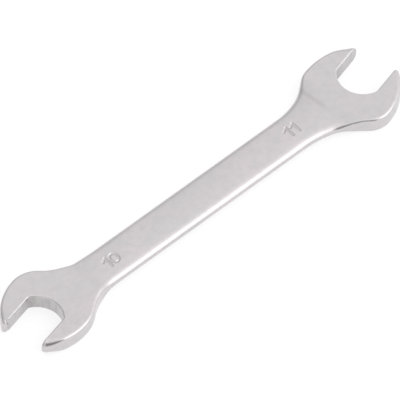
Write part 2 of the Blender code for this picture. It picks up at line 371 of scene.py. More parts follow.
def insets(points, family):
    """The nearest distance to a family of stretches, and the softness at the nearest one."""
    best = np.full(len(points), FAR_AWAY)
    best_soft = np.zeros(len(points))
    for stretch in EDGES:
        if stretch.family != family:
            continue
        inset, soft = inset_from(stretch, points)
        closer = np.abs(inset) < np.abs(best)
        best = np.where(closer, inset, best)
        best_soft = np.where(closer, soft, best_soft)
    return best, best_soft


# %% [markdown]
# ## The edge profile
#
# A forging has no sharp outside edge. On the shank the round starts well inside the face, and polishing has
# left it flatter than a circle, so it is a quarter of an ellipse. On the heads it is a small quarter circle.
# The opening's edges are cut after forging, and keep only a hair of a round.

# %% From shank to head
def edge_width(points):
    """How far in from the rim the rounding starts."""
    _, soft = insets(points, "rim")
    head_edge = HEAD_EDGE + soft
    x = points[:, 0]
    at_big = smooth((x - BIG_EDGE_BLEND.start) / (BIG_EDGE_BLEND.end - BIG_EDGE_BLEND.start))
    at_small = smooth((-x - SMALL_EDGE_BLEND.start) / (SMALL_EDGE_BLEND.end - SMALL_EDGE_BLEND.start))
    return SHANK_EDGE_WIDTH + (head_edge - SHANK_EDGE_WIDTH) * np.maximum(at_big, at_small)


def jaw_edge_width(points):
    """How far in from an opening's edge the rounding starts."""
    return np.full(len(points), JAW_EDGE)


# %% [markdown]
# ## The stamped numbers
#
# Each number is struck into the face with a letter punch. A punched stroke is a groove with sloping walls,
# so all that we need is the middle line of each stroke: the groove's depth then depends only on the distance
# from that line. We draw a 1 and a 0 once, and place them four times.

# %% Middle lines of the strokes
ZERO_RADIUS = 1.27
ZERO_SIDES = 48
ROUND = [math.tau * i / ZERO_SIDES for i in range(ZERO_SIDES + 1)]
GLYPHS = {
    "1": [(-1.2, 1.95), (0.0, 2.75), (0.0, 0.0)],
    "0": [(math.sin(angle), ZERO_RADIUS + ZERO_RADIUS * math.cos(angle)) for angle in ROUND],
}
STAMPS = [("1", (-30.62, -1.55)), ("0", (-28.88, -1.45)), ("1", (25.45, -1.25)), ("1", (27.45, -1.25))]
STROKES = [np.array(GLYPHS[glyph]) + np.array(place) for glyph, place in STAMPS]
print("strokes:", len(STROKES))


# %% Distance from the strokes
def stroke_distance(points):
    """Each point's distance from the nearest middle line."""
    best = np.full(len(points), FAR_AWAY)
    for stroke in STROKES:
        for first, last in zip(stroke, stroke[1:]):
            run = last - first
            share = np.clip((points - first) @ run / (run @ run), 0, 1)
            gap = points - (first + share[:, None] * run)
            best = np.minimum(best, np.hypot(gap[:, 0], gap[:, 1]))
    return best


# %% [markdown]
# ## A sheet of points
#
# The faces are made from one flat sheet of triangles in plan, whose points are then lifted. Points are laid
# where the surface bends: in rows beside the edges and the strokes, closer where the curve is tighter, and
# across the step in each neck. Where two sets of rows would cross, at the jaw tips, a row gives way as soon
# as it comes nearer to the other edge than it should be.

# %% Rows beside the edges
RIM_ROWS = 9
JAW_ROWS = 4
ROW_MARGIN = 0.12


def rows_beside(other_family, count, width_at):
    """Points in rows beside the stations of all families but one, and how far in each row lies."""
    chosen = [station for station in stations if station.family != other_family]
    points = np.array([station.point for station in chosen])
    normals = np.array([station.normal for station in chosen])
    width = width_at(points)
    turns = [math.radians(90 * i / count) for i in range(1, count + 1)]
    rows = [width * (1 - math.cos(turn)) for turn in turns] + [width + ROW_MARGIN]
    return np.concatenate([points - normals * row[:, None] for row in rows]), np.concatenate(rows)


rim_points, rim_reach = rows_beside("jaw", RIM_ROWS, edge_width)
jaw_points, jaw_reach = rows_beside("rim", JAW_ROWS, jaw_edge_width)
print("row points:", len(rim_points), len(jaw_points))

# %% Keep the points that belong to their row
TOLERANCE = 1e-5
LEAST_INSET = 0.012


def keep(points, reach, family):
    """Points that lie in the metal and no nearer to their own edge than their row."""
    rim_inset, _ = insets(points, "rim")
    jaw_inset, _ = insets(points, "jaw")
    own = rim_inset if family == "rim" else jaw_inset
    inside = (rim_inset > LEAST_INSET) & (jaw_inset > LEAST_INSET)
    return points[inside & (own > reach - TOLERANCE)]


rim_points = keep(rim_points, rim_reach, "rim")
jaw_points = keep(jaw_points, jaw_reach, "jaw")
print("kept:", len(rim_points), len(jaw_points))


# %% Rows beside the strokes
STAMP_HALF_WIDTH = 0.1
STAMP_WALL = 0.32
STAMP_DEPTH = 0.19
STAMP_SPACING = 0.08
STAMP_MARGIN = 0.06
FLOOR_ROW_SHARE = 0.6
WALL_ROWS = 5
FAN = 12


def fan(centre, turn, steps, reaches):
    """Points round a centre, each with its distance from it."""
    ways = [direction(turn + i * math.pi / FAN) for i in steps]
    return [(centre + way * reach, reach) for way in ways for reach in reaches]


def stroke_rows():
    """Points on both sides of each stroke's middle line, and in fans round its ends and corners."""
    reaches = [0, STAMP_HALF_WIDTH * FLOOR_ROW_SHARE]
    reaches += [STAMP_HALF_WIDTH + STAMP_WALL * i / WALL_ROWS for i in range(WALL_ROWS + 1)]
    reaches.append(STAMP_HALF_WIDTH + STAMP_WALL + STAMP_MARGIN)
    found = []
    for stroke in STROKES:
        for first, last in zip(stroke, stroke[1:]):
            run = last - first
            length = np.linalg.norm(run)
            count = max(1, round(length / STAMP_SPACING))
            across = np.array((-run[1], run[0])) / length
            for i in range(count + 1):
                on_line = first + run * i / count
                for reach in reaches:
                    found.append((on_line + across * reach, reach))
                    found.append((on_line - across * reach, reach))
        if np.allclose(stroke[0], stroke[-1]):
            continue
        for end, before in ((stroke[0], stroke[1]), (stroke[-1], stroke[-2])):
            away = angle_of(end - before)
            found += fan(end, away, range(1 - FAN // 2, FAN // 2), reaches[1:])
        for corner in stroke[1:-1]:
            found += fan(corner, 0, range(2 * FAN), reaches[1:])
    points = np.array([point for point, _ in found])
    reach = np.array([reach for _, reach in found])
    return points[stroke_distance(points) > reach - TOLERANCE]


stroke_points = stroke_rows()
print("stroke points:", len(stroke_points))


# %% Points across the steps and over the flats
PLAN_HALF_LENGTH = 62
PLAN_HALF_WIDTH = 14
FLAT_SPACING = (1.0, 0.6)
BIG_STEP_SPACING = (0.14, 0.5)
SMALL_STEP_SPACING = (0.25, 0.5)
STEP_MARGIN = 0.3
FILL_MARGIN = 0.2


def grid(low, high, spacing):
    """A plain grid of points between two lengths, over the whole width."""
    xs = np.arange(low, high, spacing[0])
    ys = np.arange(-PLAN_HALF_WIDTH, PLAN_HALF_WIDTH, spacing[1])
    return np.array([(x, y) for x in xs for y in ys])


def clear_of_edges(points):
    """Points well inside the metal and away from the strokes."""
    rim_inset, _ = insets(points, "rim")
    jaw_inset, _ = insets(points, "jaw")
    clear = (rim_inset > edge_width(points) + FILL_MARGIN) & (jaw_inset > JAW_EDGE + FILL_MARGIN)
    clear &= stroke_distance(points) > STAMP_HALF_WIDTH + STAMP_WALL + FILL_MARGIN
    return points[clear & (rim_inset < FAR_AWAY / 2)]


def step_grid(head, step, spacing):
    """A grid laid square to a head's opening, over the rise in its neck."""
    rows = grid(step.start - STEP_MARGIN, step.end + STEP_MARGIN, spacing)
    turned = np.column_stack([direction(head.turn), direction(head.turn + math.pi / 2)])
    return rows @ turned.T + head.throat


flat_points = grid(-PLAN_HALF_LENGTH, PLAN_HALF_LENGTH, FLAT_SPACING)
for head, step in ((BIG_HEAD, BIG_STEP), (SMALL_HEAD, SMALL_STEP)):
    along = (flat_points - head.throat) @ direction(head.turn)
    flat_points = flat_points[(along < step.start) | (along > step.end)]
fill_points = np.concatenate([
    step_grid(BIG_HEAD, BIG_STEP, BIG_STEP_SPACING),
    step_grid(SMALL_HEAD, SMALL_STEP, SMALL_STEP_SPACING),
    flat_points,
])
fill_points = clear_of_edges(fill_points)
print("fill points:", len(fill_points))

# %% [markdown]
# ## Joining the points
#
# Points that nearly coincide would make slivers, so later points give way to earlier ones. Then a
# constrained Delaunay triangulation joins all of them, and keeps only the triangles inside the outline.

# %% Thin out and triangulate
LEAST_GAP = 0.018
INSIDE_ONLY = 1
SAME_POINT = 1e-7


def thin_out(groups):
    """All points in order, leaving out any that nearly touches one that came before."""
    kept = []
    cells = {}
    for points in groups:
        for x, y in points:
            column = math.floor(x / LEAST_GAP)
            row = math.floor(y / LEAST_GAP)
            close = (
                other
                for near_column in (column - 1, column, column + 1)
                for near_row in (row - 1, row, row + 1)
                for other in cells.get((near_column, near_row), ())
            )
            if any((x - a) ** 2 + (y - b) ** 2 < LEAST_GAP**2 for a, b in close):
                continue
            cells.setdefault((column, row), []).append((x, y))
            kept.append((x, y))
    return np.array(kept)


outline_points = np.array([station.point for station in stations])
sheet = thin_out([outline_points, rim_points, jaw_points, stroke_points, fill_points])
print("points in all:", len(sheet))
loop = list(range(len(outline_points)))
plan_verts, _, plan_faces, *_ = delaunay_2d_cdt(
    [Vector(point) for point in sheet], [], [loop], INSIDE_ONLY, SAME_POINT
)
print("plan:", len(plan_verts), "points,", len(plan_faces), "triangles")


# %% Painted shade in the openings' corners
CORNER_REACH = 3.2


def corner_shade(points):
    """How much painted shade each point gets: 1 in the corners of the openings, fading to 0."""
    nearest = np.full(len(points), FAR_AWAY)
    for stretch in OUTLINE:
        if stretch.family == "jaw" and isinstance(stretch, Arc) and stretch.radius < CORNER_REACH:
            gap = points - stretch.centre
            nearest = np.minimum(nearest, np.hypot(gap[:, 0], gap[:, 1]))
    return smooth(1 - nearest / CORNER_REACH)


# %% The flat sheet as a mesh
JAW_INSET_LIMIT = 5.0


def plan_sheet():
    """The flat sheet, in place, with each point's distance from the edges."""
    plan = np.array([tuple(point) for point in plan_verts])
    placed = np.column_stack([plan + SHANK_MIDDLE, np.zeros(len(plan))]) * MM
    mesh = bpy.data.meshes.new("wrench_body")
    mesh.from_pydata(placed.tolist(), [], [tuple(face) for face in plan_faces])
    rim_inset, soft = insets(plan, "rim")
    jaw_inset, _ = insets(plan, "jaw")
    values = {
        "rim_inset": np.maximum(rim_inset, 0) * MM,
        "jaw_inset": np.clip(jaw_inset, 0, JAW_INSET_LIMIT) * MM,
        "tip_softness": soft * MM,
        "corner_shade": corner_shade(plan),
    }
    for name, value in values.items():
        layer = mesh.attributes.new(name, "FLOAT", "POINT")
        layer.data.foreach_set("value", value.astype(np.float32))
    return mesh


def strokes_mesh():
    """The strokes' middle lines as loose edges, in place on the face."""
    points = []
    edges = []
    for stroke in STROKES:
        start = len(points)
        points += [(*((point + SHANK_MIDDLE) * MM), 0.0) for point in stroke]
        edges += [(start + i, start + i + 1) for i in range(len(stroke) - 1)]
    mesh = bpy.data.meshes.new("stamp_strokes")
    mesh.from_pydata(points, edges, [])
    return mesh


def add_object(name, data):
    """A new object in the scene."""
    made = bpy.data.objects.new(name, data)
    bpy.context.scene.collection.objects.link(made)
    return made


wrench = add_object("wrench_body", plan_sheet())
strokes = add_object("stamp_strokes", strokes_mesh())
print("sheet:", len(wrench.data.vertices), "points; strokes:", len(strokes.data.vertices))

# %% [markdown]
# ## Geometry Nodes: small helpers
#
# The body follows a rule, so Geometry Nodes build it: its height at any point of the plan depends only on
# the distance from the edges, the place along the shank and the distance from a stroke. The helpers below
# add a node, wire its inputs and give back its output, so that a rule reads almost like a formula. A socket
# knows its own tree, so a helper that is given one needs no more.

# %% Node helpers
def fill(socket, value):
    """Wires a socket to another node's output, or sets it to a plain value."""
    if isinstance(value, bpy.types.NodeSocket):
        socket.id_data.links.new(value, socket)
    else:
        socket.default_value = value


def fill_all(node, values):
    """Fills several inputs of a node, given by name or by number."""
    for label, value in values.items():
        fill(node.inputs[label], value)


def add_node(kind, inputs, tree=None, **settings):
    """A new node with its settings and its inputs, in the tree that those inputs come from."""
    sockets = (value for value in inputs.values() if isinstance(value, bpy.types.NodeSocket))
    tree = tree or next(sockets).id_data
    node = tree.nodes.new(kind)
    for name, value in settings.items():
        setattr(node, name, value)
    fill_all(node, inputs)
    return node


def maths(operation, first, second=None, clamp=False):
    """A Math node's output."""
    inputs = {0: first} if second is None else {0: first, 1: second}
    return add_node("ShaderNodeMath", inputs, operation=operation, use_clamp=clamp).outputs[0]


def vector_maths(operation, first, second, output="Vector"):
    """A Vector Math node's output."""
    node = add_node("ShaderNodeVectorMath", {0: first, 1: second}, operation=operation)
    return node.outputs[output]


def blend(share, first, second):
    """First at share 0, second at share 1."""
    return add_node("ShaderNodeMix", {0: share, 2: first, 3: second}, data_type="FLOAT").outputs[0]


def smooth_step(value, start, end, first=0.0, last=1.0):
    """One value before the start, another past the end, and a smooth step between."""
    inputs = {"Value": value, "From Min": start, "From Max": end, "To Min": first, "To Max": last}
    node = add_node("ShaderNodeMapRange", inputs, interpolation_type="SMOOTHSTEP")
    return node.outputs["Result"]


def attribute(tree, name):
    """A named attribute of the points."""
    node = add_node("GeometryNodeInputNamedAttribute", {"Name": name}, tree, data_type="FLOAT")
    return node.outputs["Attribute"]


def position(tree):
    """Each point's place, split into X, Y and Z."""
    place = tree.nodes.new("GeometryNodeInputPosition").outputs[0]
    return add_node("ShaderNodeSeparateXYZ", {0: place}).outputs


def new_group(name, kind, inputs, outputs):
    """An empty node group with named sockets, and the sockets to wire inside it."""
    tree = bpy.data.node_groups.new(name, kind)
    for side, sockets in (("INPUT", inputs), ("OUTPUT", outputs)):
        for label, socket in sockets.items():
            tree.interface.new_socket(name=label, in_out=side, socket_type="NodeSocket" + socket)
    return tree, tree.nodes.new("NodeGroupInput").outputs, tree.nodes.new("NodeGroupOutput").inputs


# %% [markdown]
# ## A rounded edge as a rule
#
# A quarter ellipse, `Width` wide and `Fall` deep, starts upright at the edge and ends level with the face.
# The rule is used twice, for the forged rim and for the jaw opening, so it is a node group of its own.

# %% Node group: rounded edge
def rounded_edge_group():
    """Node group that turns a distance from an edge into a fall below the face."""
    inputs = {"Inset": "Float", "Width": "Float", "Fall": "Float"}
    tree, given, result = new_group("rounded_edge", "GeometryNodeTree", inputs, {"Drop": "Float"})
    share = maths("DIVIDE", given["Inset"], given["Width"], clamp=True)
    sideways = maths("SUBTRACT", 1.0, share)
    squared = maths("MULTIPLY", sideways, sideways)
    upright = maths("SQRT", maths("SUBTRACT", 1.0, squared, clamp=True))
    drop = maths("MULTIPLY", maths("SUBTRACT", 1.0, upright), given["Fall"])
    fill(result["Drop"], drop)
    return tree


ROUNDED_EDGE = rounded_edge_group()


def rounded_edge(inset, width, fall):
    """Places the group and gives back its drop."""
    inputs = {"Inset": inset, "Width": width, "Fall": fall}
    return add_node("GeometryNodeGroup", inputs, node_tree=ROUNDED_EDGE).outputs["Drop"]


# %% [markdown]
# ## The forging as a node tree
#
# The tree lifts the flat sheet to half the wrench's thickness less the drop at its edges, and pulls the open
# border straight down to the middle plane. A mirrored copy makes the underside. Only the top gets the
# stamped numbers. We could model one side by hand and use a Mirror modifier, but then a new thickness or
# edge would mean modelling it again, while here each is one number. The tree ends by making any instances
# real and giving the faces their materials, because only real faces are carried out of it.

# %% Sizes that the tree takes
WALL_LIP = 0.05


def throat_distance(head):
    """How far a head's throat lies from the origin, along its opening."""
    return (SHANK_MIDDLE + head.throat) @ direction(head.turn)


def span_sizes(name, span, distance=0.0):
    """The two ends of a span that starts some distance from the origin, under the tree's names."""
    return {name + " start": distance + span.start, name + " end": distance + span.end}


LENGTHS = {
    "Shank middle": SHANK_MIDDLE[0],
    "Shank middle across": SHANK_MIDDLE[1],
    "Shank thickness": SHANK_THICKNESS,
    "Head thickness": HEAD_THICKNESS,
    **span_sizes("Big step", BIG_STEP, throat_distance(BIG_HEAD)),
    **span_sizes("Small step", SMALL_STEP, throat_distance(SMALL_HEAD)),
    **span_sizes("Crest", BIG_CREST, SHANK_MIDDLE @ direction(CREST_TURN)),
    **span_sizes("Crest fade", CREST_FADE),
    **span_sizes("Big blend", BIG_EDGE_BLEND),
    **span_sizes("Small blend", SMALL_EDGE_BLEND),
    "Crown radius": SHANK_CROWN_RADIUS,
    "Shank edge width": SHANK_EDGE_WIDTH,
    "Shank edge fall": SHANK_EDGE_FALL,
    "Head edge": HEAD_EDGE,
    "Jaw edge": JAW_EDGE,
    "Stroke half width": STAMP_HALF_WIDTH,
    "Stroke wall": STAMP_WALL,
    "Stroke depth": STAMP_DEPTH,
    "Wall lip": WALL_LIP,
}
FORGING_SIZES = {name: length * MM for name, length in LENGTHS.items()}
FORGING_SIZES.update({"Big turn": BIG_HEAD.turn, "Small turn": SMALL_HEAD.turn})
FORGING_SIZES.update({"Crest turn": CREST_TURN, "Crest share": CREST_SHARE})
print("sizes:", len(FORGING_SIZES))


# %% From shank to head, as nodes
def over_span(value, size, name):
    """A smooth step from 0 to 1 over one of the named spans."""
    return smooth_step(value, size[name + " start"], size[name + " end"])


def step_share(x, y, across, size):
    """0 on the shank and 1 on either head, with a crest in the larger head's rise."""

    def risen(name, turn):
        forward = maths("MULTIPLY", x, maths("COSINE", turn))
        along = maths("ADD", forward, maths("MULTIPLY", y, maths("SINE", turn)))
        return over_span(along, size, name)

    crest_share = maths("MULTIPLY", over_span(across, size, "Crest fade"), size["Crest share"])
    at_big = risen("Big step", size["Big turn"])
    at_big = blend(crest_share, at_big, risen("Crest", size["Crest turn"]))
    return maths("MAXIMUM", at_big, risen("Small step", size["Small turn"]))


def blend_share(along, size):
    """0 where the edges are the shank's and 1 where they are a head's."""
    at_big = over_span(along, size, "Big blend")
    at_small = over_span(maths("MULTIPLY", along, -1.0), size, "Small blend")
    return maths("MAXIMUM", at_big, at_small)


# %% Height of the face
def half_height(tree, size):
    """Height of the face above the middle plane, and how far each point is rounded off, up to 1."""
    place = position(tree)
    along = maths("SUBTRACT", place["X"], size["Shank middle"])
    across = maths("SUBTRACT", place["Y"], size["Shank middle across"])
    step = step_share(place["X"], place["Y"], across, size)
    thickness = blend(step, size["Shank thickness"], size["Head thickness"])
    share = blend_share(along, size)
    head_edge = maths("ADD", attribute(tree, "tip_softness"), size["Head edge"])
    width = blend(share, size["Shank edge width"], head_edge)
    fall = blend(share, size["Shank edge fall"], head_edge)
    rim_drop = rounded_edge(attribute(tree, "rim_inset"), width, fall)
    jaw_drop = rounded_edge(attribute(tree, "jaw_inset"), size["Jaw edge"], size["Jaw edge"])
    drop = maths("MAXIMUM", rim_drop, jaw_drop)
    wear = maths("DIVIDE", drop, size["Head edge"], clamp=True)
    squared = maths("MULTIPLY", across, across)
    crown = maths("DIVIDE", squared, maths("MULTIPLY", size["Crown radius"], 2.0))
    crown = maths("MULTIPLY", crown, maths("SUBTRACT", 1.0, share))
    height = maths("SUBTRACT", maths("MULTIPLY", thickness, 0.5), drop)
    return maths("SUBTRACT", height, crown), wear


def upwards(height):
    """A vector that points straight up."""
    return add_node("ShaderNodeCombineXYZ", {"Z": height}).outputs[0]


def lift(geometry, height, selection=True):
    """Moves the points of a geometry upwards, all of them or only the selected ones."""
    inputs = {"Geometry": geometry, "Selection": selection, "Offset": upwards(height)}
    return add_node("GeometryNodeSetPosition", inputs).outputs[0]


def store(geometry, name, value):
    """Keeps a value on the points for the materials."""
    inputs = {"Geometry": geometry, "Name": name, "Value": value}
    return add_node("GeometryNodeStoreNamedAttribute", inputs, data_type="FLOAT", domain="POINT").outputs[0]


# %% Pull the border down to the middle plane
def pull_down(geometry, selection, fall):
    """Extrudes the selected edges downwards, and gives the new border too."""
    offset = upwards(maths("MULTIPLY", fall, -1.0))
    inputs = {"Mesh": geometry, "Selection": selection, "Offset": offset}
    node = add_node("GeometryNodeExtrudeMesh", inputs, mode="EDGES")
    return node.outputs["Mesh"], node.outputs["Top"]


def with_walls(geometry, lip):
    """The lifted sheet with its walls, in two rows so that the lip's shading stays crisp."""
    tree = geometry.id_data
    neighbours = tree.nodes.new("GeometryNodeInputMeshEdgeNeighbors").outputs[0]
    border = add_node("FunctionNodeCompare", {}, tree, data_type="INT", operation="EQUAL")
    first, second = [socket for socket in border.inputs if socket.type == "INT"]
    fill(first, neighbours)
    fill(second, 1)
    geometry, edge = pull_down(geometry, border.outputs[0], lip)
    geometry, foot = pull_down(geometry, edge, position(tree)["Z"])
    return lift(geometry, maths("MULTIPLY", position(tree)["Z"], -1.0), foot)


# %% The stamped recess
def stamped(geometry, strokes_socket, size):
    """Lowers the points near the strokes."""
    tree = geometry.id_data
    lines = add_node("GeometryNodeObjectInfo", {"Object": strokes_socket}).outputs["Geometry"]
    place = tree.nodes.new("GeometryNodeInputPosition").outputs[0]
    inputs = {0: lines, "Sample Position": vector_maths("MULTIPLY", place, (1, 1, 0))}
    distance = add_node("GeometryNodeProximity", inputs, target_element="EDGES").outputs["Distance"]
    outer = maths("ADD", size["Stroke half width"], size["Stroke wall"])
    share = smooth_step(distance, size["Stroke half width"], outer, 1.0, 0.0)
    kept = store(geometry, "stamp_share", share)
    fall = maths("MULTIPLY", share, size["Stroke depth"])
    return lift(kept, maths("MULTIPLY", fall, -1.0))


# %% The whole tree
WELD_DISTANCE = 1e-7
ON_EDGE = 1e-6


def painted(geometry, material, selection=True):
    """Gives faces a material."""
    inputs = {"Geometry": geometry, "Selection": selection, "Material": material}
    return add_node("GeometryNodeSetMaterial", inputs).outputs[0]


def forging_tree():
    """Node tree that turns the flat sheet into the closed forging."""
    inputs = {"Geometry": "Geometry", "Strokes": "Object", "Plate": "Material", "Jaw plate": "Material"}
    inputs.update(dict.fromkeys(FORGING_SIZES, "Float"))
    tree, given, result = new_group("forging", "GeometryNodeTree", inputs, {"Geometry": "Geometry"})

    height, wear = half_height(tree, given)
    kept = store(given["Geometry"], "edge_wear", wear)
    half = with_walls(lift(kept, height), given["Wall lip"])
    top = stamped(half, given["Strokes"], given)
    turned = add_node("GeometryNodeTransform", {"Geometry": half, "Scale": (1, 1, -1)}).outputs[0]
    underside = add_node("GeometryNodeFlipFaces", {0: turned}).outputs[0]
    join = add_node("GeometryNodeJoinGeometry", {0: top})
    fill(join.inputs[0], underside)
    halves = {"Geometry": join.outputs[0], "Distance": WELD_DISTANCE}
    merged = add_node("GeometryNodeMergeByDistance", halves).outputs[0]
    raised = lift(merged, maths("MULTIPLY", given["Head thickness"], 0.5))
    shaded = add_node("GeometryNodeSetShadeSmooth", {"Geometry": raised}).outputs[0]
    realized = add_node("GeometryNodeRealizeInstances", {0: shaded}).outputs[0]
    plated = painted(realized, given["Plate"])
    on_jaw = maths("LESS_THAN", attribute(tree, "jaw_inset"), ON_EDGE)
    fill(result["Geometry"], painted(plated, given["Jaw plate"], on_jaw))
    return tree


# %% [markdown]
# ## The plating
#
# The steel is plated with satin nickel and chrome. It isn't a mirror: blasting before plating leaves a fine,
# even grain, and the forging under it is never quite flat, so pale clouds drift over the faces and fine dull
# specks lie between them. In the openings the broach has drawn fine lines through the thickness, so there
# the same noise is stretched along Z. The openings' corners and the stamped strokes get painted shade: their
# colour is darker. We could paint these marks on an image, but noise in the object's own space needs no
# unwrapping
# and has no seam. Two finishes share these effects, so each effect is a shader node group.

# %% Shader helpers
def noise(vector, scale, detail, roughness=0.5):
    """A Noise Texture's value."""
    inputs = {"Vector": vector, "Scale": scale, "Detail": detail, "Roughness": roughness}
    return add_node("ShaderNodeTexNoise", inputs).outputs[0]


def colour_mix(share, first, second, kind="MIX"):
    """A mix of two colours."""
    inputs = {0: share, 6: first, 7: second}
    return add_node("ShaderNodeMix", inputs, data_type="RGBA", blend_type=kind).outputs[2]


def kept_value(tree, name):
    """A value that the forging's tree has kept on the points."""
    return add_node("ShaderNodeAttribute", {}, tree, attribute_name=name).outputs["Fac"]


# %% Node group: plate clouds
CLOUD_DETAIL = 3.0
COOL_SCALE = 1.7
COOL_SHIFT = (0.31, 0.17, 0.05)
MOTTLE_SCALE = 5.0
MOTTLE_DETAIL = 4.0
MOTTLE_ROUGHNESS = 0.7
WARM_SPAN = Span(0.45, 0.7)
COOL_SPAN = Span(0.48, 0.72)
MOTTLE_SPAN = Span(0.4, 0.68)


def plate_clouds():
    """Faint warm and cool clouds and dull specks in the plating, and a mask for the roughness."""
    inputs = {"Vector": "Vector", "Scale": "Float"}
    inputs.update(dict.fromkeys(("Plain", "Warm", "Cool", "Dull"), "Color"))
    outputs = {"Colour": "Color", "Clouds": "Float"}
    tree, given, result = new_group("plate_clouds", "ShaderNodeTree", inputs, outputs)
    cool_scale = maths("MULTIPLY", given["Scale"], COOL_SCALE)
    mottle_scale = maths("MULTIPLY", given["Scale"], MOTTLE_SCALE)
    shifted = vector_maths("ADD", given["Vector"], COOL_SHIFT)
    warm = noise(given["Vector"], given["Scale"], CLOUD_DETAIL)
    cool = noise(shifted, cool_scale, CLOUD_DETAIL)
    mottle = noise(given["Vector"], mottle_scale, MOTTLE_DETAIL, MOTTLE_ROUGHNESS)
    warmed = colour_mix(smooth_step(warm, *WARM_SPAN), given["Plain"], given["Warm"])
    cooled = colour_mix(smooth_step(cool, *COOL_SPAN), warmed, given["Cool"])
    specks = smooth_step(mottle, *MOTTLE_SPAN)
    fill(result["Colour"], colour_mix(specks, cooled, given["Dull"]))
    fill(result["Clouds"], cool)
    return tree


PLATE_CLOUDS = plate_clouds()


# %% Node group: blasted grain
GRAIN_DETAIL = 2.0
WAVE_DETAIL = 1.0


def blasted_grain():
    """Height of the fine grain over the forging's slow waves."""
    inputs = {"Vector": "Vector"}
    inputs.update(dict.fromkeys(("Grain scale", "Grain height", "Wave scale", "Wave height"), "Float"))
    tree, given, result = new_group("blasted_grain", "ShaderNodeTree", inputs, {"Height": "Float"})
    grain = noise(given["Vector"], given["Grain scale"], GRAIN_DETAIL)
    waves = noise(given["Vector"], given["Wave scale"], WAVE_DETAIL)
    fine = maths("MULTIPLY", grain, given["Grain height"])
    fill(result["Height"], maths("ADD", fine, maths("MULTIPLY", waves, given["Wave height"])))
    return tree


BLASTED_GRAIN = blasted_grain()
print("shader groups:", PLATE_CLOUDS.name, BLASTED_GRAIN.name)


# %% A plated finish
Finish = namedtuple("Finish", "name colours rough worn_rough grain waves stretch lines corner")
CLOUD_SCALE = 120.0
GRAIN_SCALE = 6000.0
WAVE_SCALE = 300.0
LINE_SCALE = 1500.0
LINE_DETAIL = 3.0
LINE_SPAN = Span(0.4, 0.7)
# The colour that darkens the broach lines, and paints shade into the openings' corners and the stamped
# strokes.
LINE_AND_SHADE_COLOUR = (0.75, 0.74, 0.74, 1)
# Painted shade in the stamped strokes: how much darker their colour is made.
STAMP_PAINTED_SHADE = 0.25
ROUGHNESS_DRIFT = 0.12
GRAIN_UNIT = 1e-6


def new_material(name):
    """A material with its node tree and its shader."""
    material = bpy.data.materials.new(name)
    material.use_nodes = True
    return material, material.node_tree, material.node_tree.nodes["Principled BSDF"]


def plate_colour(tree, finish, drawn, clouds):
    """The clouds' colour, darker in the broach lines, with painted shade in the openings' corners and the
    stamps.
    """
    scored = noise(drawn, LINE_SCALE, LINE_DETAIL)
    scored = smooth_step(scored, *LINE_SPAN, 0.0, finish.lines)
    # Painted shade: the openings' corners are darkened, standing in for the shade that falls in them.
    shaded_corners = maths("MULTIPLY", kept_value(tree, "corner_shade"), finish.corner)
    # Painted shade: the stamped strokes are darkened, standing in for the shade in their grooves.
    stamp_shading = maths("MULTIPLY", kept_value(tree, "stamp_share"), STAMP_PAINTED_SHADE)
    share = maths("ADD", scored, maths("ADD", shaded_corners, stamp_shading), clamp=True)
    return colour_mix(share, clouds.outputs["Colour"], LINE_AND_SHADE_COLOUR, "MULTIPLY")


def plate_material(finish):
    """A plated finish: clouds in its colour and roughness, and grain in its bump."""
    material, tree, shader = new_material(finish.name)
    place = tree.nodes.new("ShaderNodeTexCoord").outputs["Object"]
    drawn = vector_maths("MULTIPLY", place, (1, 1, finish.stretch))
    inputs = {"Vector": place, "Scale": CLOUD_SCALE, **finish.colours}
    clouds = add_node("ShaderNodeGroup", inputs, node_tree=PLATE_CLOUDS)
    inputs = {"Vector": drawn, "Grain scale": GRAIN_SCALE, "Wave scale": WAVE_SCALE}
    inputs.update({"Grain height": finish.grain, "Wave height": finish.waves})
    grain = add_node("ShaderNodeGroup", inputs, node_tree=BLASTED_GRAIN)
    inputs = {"Strength": 1.0, "Distance": GRAIN_UNIT, "Height": grain.outputs["Height"]}
    bump = add_node("ShaderNodeBump", inputs)

    worn = blend(kept_value(tree, "edge_wear"), finish.rough, finish.worn_rough)
    drift = maths("SUBTRACT", clouds.outputs["Clouds"], 0.5)
    drift = maths("MULTIPLY", drift, ROUGHNESS_DRIFT)
    fill_all(shader, {
        "Metallic": 1.0,
        "Base Color": plate_colour(tree, finish, drawn, clouds),
        "Roughness": maths("ADD", worn, drift),
        "Normal": bump.outputs[0],
    })
    return material


# %% The two finishes
SATIN_PLATE = Finish(
    name="satin_plate",
    colours={
        "Plain": (0.64, 0.613, 0.622, 1),
        "Warm": (0.665, 0.62, 0.635, 1),
        "Cool": (0.615, 0.61, 0.615, 1),
        "Dull": (0.605, 0.582, 0.59, 1),
    },
    rough=0.32,
    worn_rough=0.27,
    grain=1.0,
    waves=8.0,
    stretch=1.0,
    lines=0.0,
    corner=0.0,
)
# The jaw plate's colours are darker than the satin plate's: painted shade for the shadowed floor that the
# openings' walls reflect.
JAW_PLATE = SATIN_PLATE._replace(
    name="jaw_plate",
    colours={
        "Plain": (0.57, 0.55, 0.555, 1),
        "Warm": (0.575, 0.545, 0.555, 1),
        "Cool": (0.545, 0.54, 0.54, 1),
        "Dull": (0.53, 0.51, 0.515, 1),
    },
    rough=0.26,
    worn_rough=0.22,
    grain=0.6,
    waves=4.0,
    stretch=0.1,
    lines=0.4,
    # corner is how much painted shade the openings' corners get.
    corner=0.7,
)
satin_plate = plate_material(SATIN_PLATE)
jaw_plate = plate_material(JAW_PLATE)
print("finishes:", satin_plate.name, jaw_plate.name)

# %% [markdown]
# ## Make the body
#
# The modifier's inputs are set by each socket's identifier, before the object is first evaluated. The result
# is then copied out as a plain mesh, and the modifier goes. A forging has crisp lines only where it was cut,
# so edges that turn by more than `SHARP_TURN` stay sharp and the rest is shaded smooth.

# %% Run the tree
SHARP_TURN = math.radians(50)


